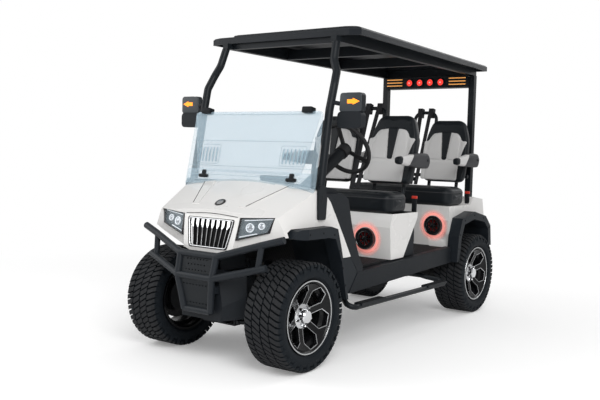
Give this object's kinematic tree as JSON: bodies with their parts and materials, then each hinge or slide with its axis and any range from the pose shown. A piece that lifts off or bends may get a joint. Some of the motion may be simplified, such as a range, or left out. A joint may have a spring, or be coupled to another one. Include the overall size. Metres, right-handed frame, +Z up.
{
  "type": "golf cart",
  "caption": "Forward-facing golf cart with a roof, folding windscreen, brush guard, padded seats and steerable all-terrain wheels.",
  "frame": {"origin": "middle of the wheelbase on the ground, which is the bottom centre of the bounding box", "axes": "+X forward, +Y to the driver's left, +Z up"},
  "size_m": [2.744, 1.356, 1.89],
  "materials": {
    "body_paint": "pearl white gloss",
    "frame_steel": "satin black powder coat",
    "guard_steel": "satin graphite powder coat",
    "axle_iron": "painted casting",
    "battery": "plain case",
    "trim_plastic": "grained black plastic",
    "flare_plastic": "satin black plastic",
    "floor_mat": "ribbed rubber mat",
    "roof_plastic": "dark grained plastic",
    "chrome": "bright chrome",
    "lamp": "clear lamp lens",
    "screen_glass": "clear glass",
    "seat_vinyl": "black vinyl",
    "seat_back_vinyl": "two-tone grey and black vinyl",
    "speaker": "black cone with red glow",
    "tyre": "all-terrain tread",
    "wheel_alloy": "gloss black alloy, machined edges",
    "wheel_grip": "moulded grip",
    "lamp_red": "red lens",
    "webbing": "black belt webbing",
    "bumper_plastic": "grained black plastic"
  },
  "bodies": {
    "cart": {"chassis_frame": "frame_steel", "front_wishbones": "frame_steel", "front_dampers": "axle_iron", "rear_axle": "axle_iron", "rear_springs": "axle_iron", "battery_pack": "battery", "floor_pan": "floor_mat", "sills": "trim_plastic", "running_boards": "frame_steel", "front_cowl": "body_paint", "grille": "chrome", "headlamps": "lamp", "front_flares": "flare_plastic", "front_shroud": "trim_plastic", "brush_guard": "guard_steel", "cowl_trims": "trim_plastic", "dash": "trim_plastic", "steering_column": "trim_plastic", "screen_lower": "screen_glass", "screen_upper": "screen_glass", "screen_struts": "frame_steel", "roof": "roof_plastic", "roof_frame": "frame_steel", "rear_body": "body_paint", "rear_pillars": "frame_steel", "sound_bar": "trim_plastic", "front_pod": "body_paint", "kick_panel": "trim_plastic", "rear_flares": "flare_plastic", "rear_cushion": "seat_vinyl", "front_seat_backs": "seat_back_vinyl", "rear_seat_backs": "seat_back_vinyl", "seat_frames": "frame_steel", "speakers": "speaker", "mirrors": "trim_plastic", "guard_panels": "guard_steel", "tail_lamps": "lamp_red", "rear_bumper": "bumper_plastic", "seat_belts": "webbing", "screen_clips": "trim_plastic"},
    "front_cushion": {"front_cushion": "seat_vinyl"},
    "steering_wheel": {"steering_wheel": "wheel_grip"},
    "tie_rod": {"tie_rod": "axle_iron"},
    "knuckle_left": {"knuckle_left": "frame_steel"},
    "knuckle_right": {"knuckle_right": "frame_steel"},
    "wheel_front_left": {"tyre_front_left": "tyre", "rim_front_left": "wheel_alloy"},
    "armrest_front_left": {"armrest_front_left": "seat_vinyl"},
    "wheel_front_right": {"tyre_front_right": "tyre", "rim_front_right": "wheel_alloy"},
    "armrest_front_right": {"armrest_front_right": "seat_vinyl"},
    "wheel_rear_left": {"tyre_rear_left": "tyre", "rim_rear_left": "wheel_alloy"},
    "armrest_rear_left": {"armrest_rear_left": "seat_vinyl"},
    "wheel_rear_right": {"tyre_rear_right": "tyre", "rim_rear_right": "wheel_alloy"},
    "armrest_rear_right": {"armrest_rear_right": "seat_vinyl"}
  },
  "joints": [
    {"name": "steer_left", "type": "hinge", "parent": "cart", "child": "knuckle_left", "pos_m": [1.045, 0.335, 0.292], "axis": [0, 0, 1], "range_deg": [-25, 25]},
    {"name": "steer_right", "type": "hinge", "parent": "cart", "child": "knuckle_right", "pos_m": [1.045, -0.335, 0.292], "axis": [0, 0, 1], "range_deg": [-25, 25]},
    {"name": "tie_rod_pivot", "type": "hinge", "parent": "knuckle_left", "child": "tie_rod", "pos_m": [0.895, 0.335, 0.245], "axis": [0, 0, 1], "range_deg": [-25, 25]},
    {"name": "steering_wheel_turn", "type": "hinge", "parent": "cart", "child": "steering_wheel", "pos_m": [0.304, 0.24, 1.19], "axis": [-0.866, 0, 0.5], "range_deg": [-300, 300]},
    {"name": "front_cushion_tip", "type": "hinge", "parent": "cart", "child": "front_cushion", "pos_m": [0.106, 0, 0.7853], "axis": [0, 1, 0], "range_deg": [0, 60]},
    {"name": "spin_front_left", "type": "hinge", "parent": "knuckle_left", "child": "wheel_front_left", "pos_m": [1.045, 0.447, 0.292], "axis": [0, 1, 0], "continuous": true},
    {"name": "spin_rear_left", "type": "hinge", "parent": "cart", "child": "wheel_rear_left", "pos_m": [-1.045, 0.447, 0.292], "axis": [0, 1, 0], "continuous": true},
    {"name": "spin_front_right", "type": "hinge", "parent": "knuckle_right", "child": "wheel_front_right", "pos_m": [1.045, -0.447, 0.292], "axis": [0, 1, 0], "continuous": true},
    {"name": "spin_rear_right", "type": "hinge", "parent": "cart", "child": "wheel_rear_right", "pos_m": [-1.045, -0.447, 0.292], "axis": [0, 1, 0], "continuous": true},
    {"name": "armrest_front_left_lift", "type": "hinge", "parent": "cart", "child": "armrest_front_left", "pos_m": [-0.32924, 0.459, 1.1304], "axis": [0, -1, 0], "range_deg": [0, 85]},
    {"name": "armrest_front_right_lift", "type": "hinge", "parent": "cart", "child": "armrest_front_right", "pos_m": [-0.32924, -0.459, 1.1304], "axis": [0, -1, 0], "range_deg": [0, 85]},
    {"name": "armrest_rear_left_lift", "type": "hinge", "parent": "cart", "child": "armrest_rear_left", "pos_m": [-1.13221, 0.459, 1.14154], "axis": [0, -1, 0], "range_deg": [0, 85]},
    {"name": "armrest_rear_right_lift", "type": "hinge", "parent": "cart", "child": "armrest_rear_right", "pos_m": [-1.13221, -0.459, 1.14154], "axis": [0, -1, 0], "range_deg": [0, 85]}
  ],
  "couplings": [
    {"joint": "steer_right", "follows": "steer_left", "ratio": 1},
    {"joint": "tie_rod_pivot", "follows": "steer_left", "ratio": -1},
    {"joint": "steering_wheel_turn", "follows": "steer_left", "ratio": 12}
  ]
}
